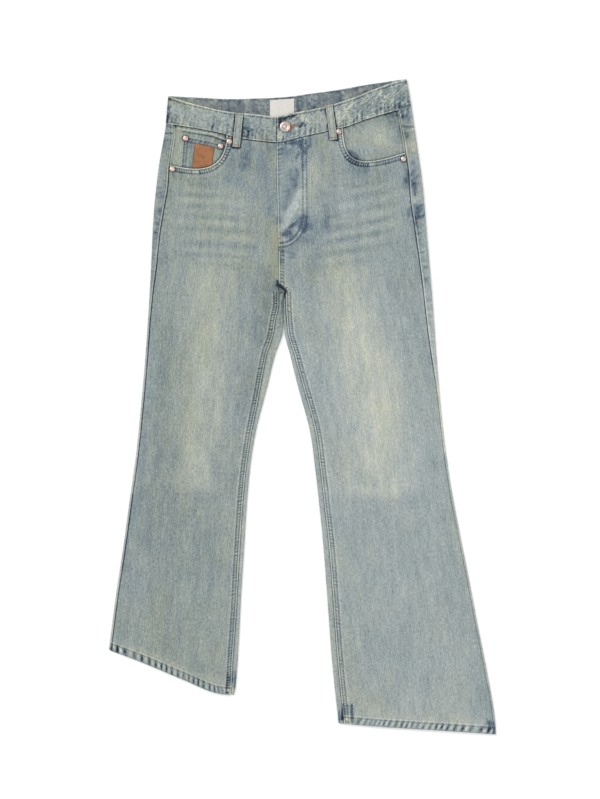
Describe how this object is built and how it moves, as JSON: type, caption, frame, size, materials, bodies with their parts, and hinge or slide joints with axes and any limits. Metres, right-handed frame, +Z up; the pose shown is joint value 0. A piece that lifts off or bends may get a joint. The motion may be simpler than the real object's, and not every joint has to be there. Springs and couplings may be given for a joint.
{
  "type": "bootcut jeans",
  "caption": "Washed denim bootcut jeans laid flat on their back, front up, with scooped front pockets, a coin pocket, a buttoned waistband and flared legs.",
  "frame": {"origin": "middle of the underside of the garment's bounding box", "axes": "+Y from the hems to the waist, +Z up out of the front, +X to the wearer's left"},
  "size_m": [0.643, 1.089, 0.0133],
  "materials": {
    "denim": "washed cotton twill",
    "leather": "matt, blank",
    "label": "woven, blank",
    "button_metal": "pale rose metal, polished",
    "rivet_metal": "pale copper, polished"
  },
  "bodies": {
    "root": {"front_right": "denim", "front_left": "denim", "back_right": "denim", "back_left": "denim", "yoke_right": "denim", "yoke_left": "denim", "waistband": "denim", "fly": "denim", "pocket_facing_right": "denim", "pocket_facing_left": "denim", "coin_pocket": "denim", "back_pocket_right": "denim", "back_pocket_left": "denim", "belt_loop_front_right": "denim", "belt_loop_front_left": "denim", "belt_loop_back_right": "denim", "belt_loop_back_centre": "denim", "belt_loop_back_left": "denim", "leather_patch": "leather", "waist_label": "label", "waist_button": "button_metal", "rivet_coin_outer": "rivet_metal", "rivet_coin_inner": "rivet_metal", "rivet_mouth_right_side": "rivet_metal", "rivet_mouth_right_waist": "rivet_metal", "rivet_mouth_left_waist": "rivet_metal", "rivet_mouth_left_side": "rivet_metal"}
  },
  "joints": []
}
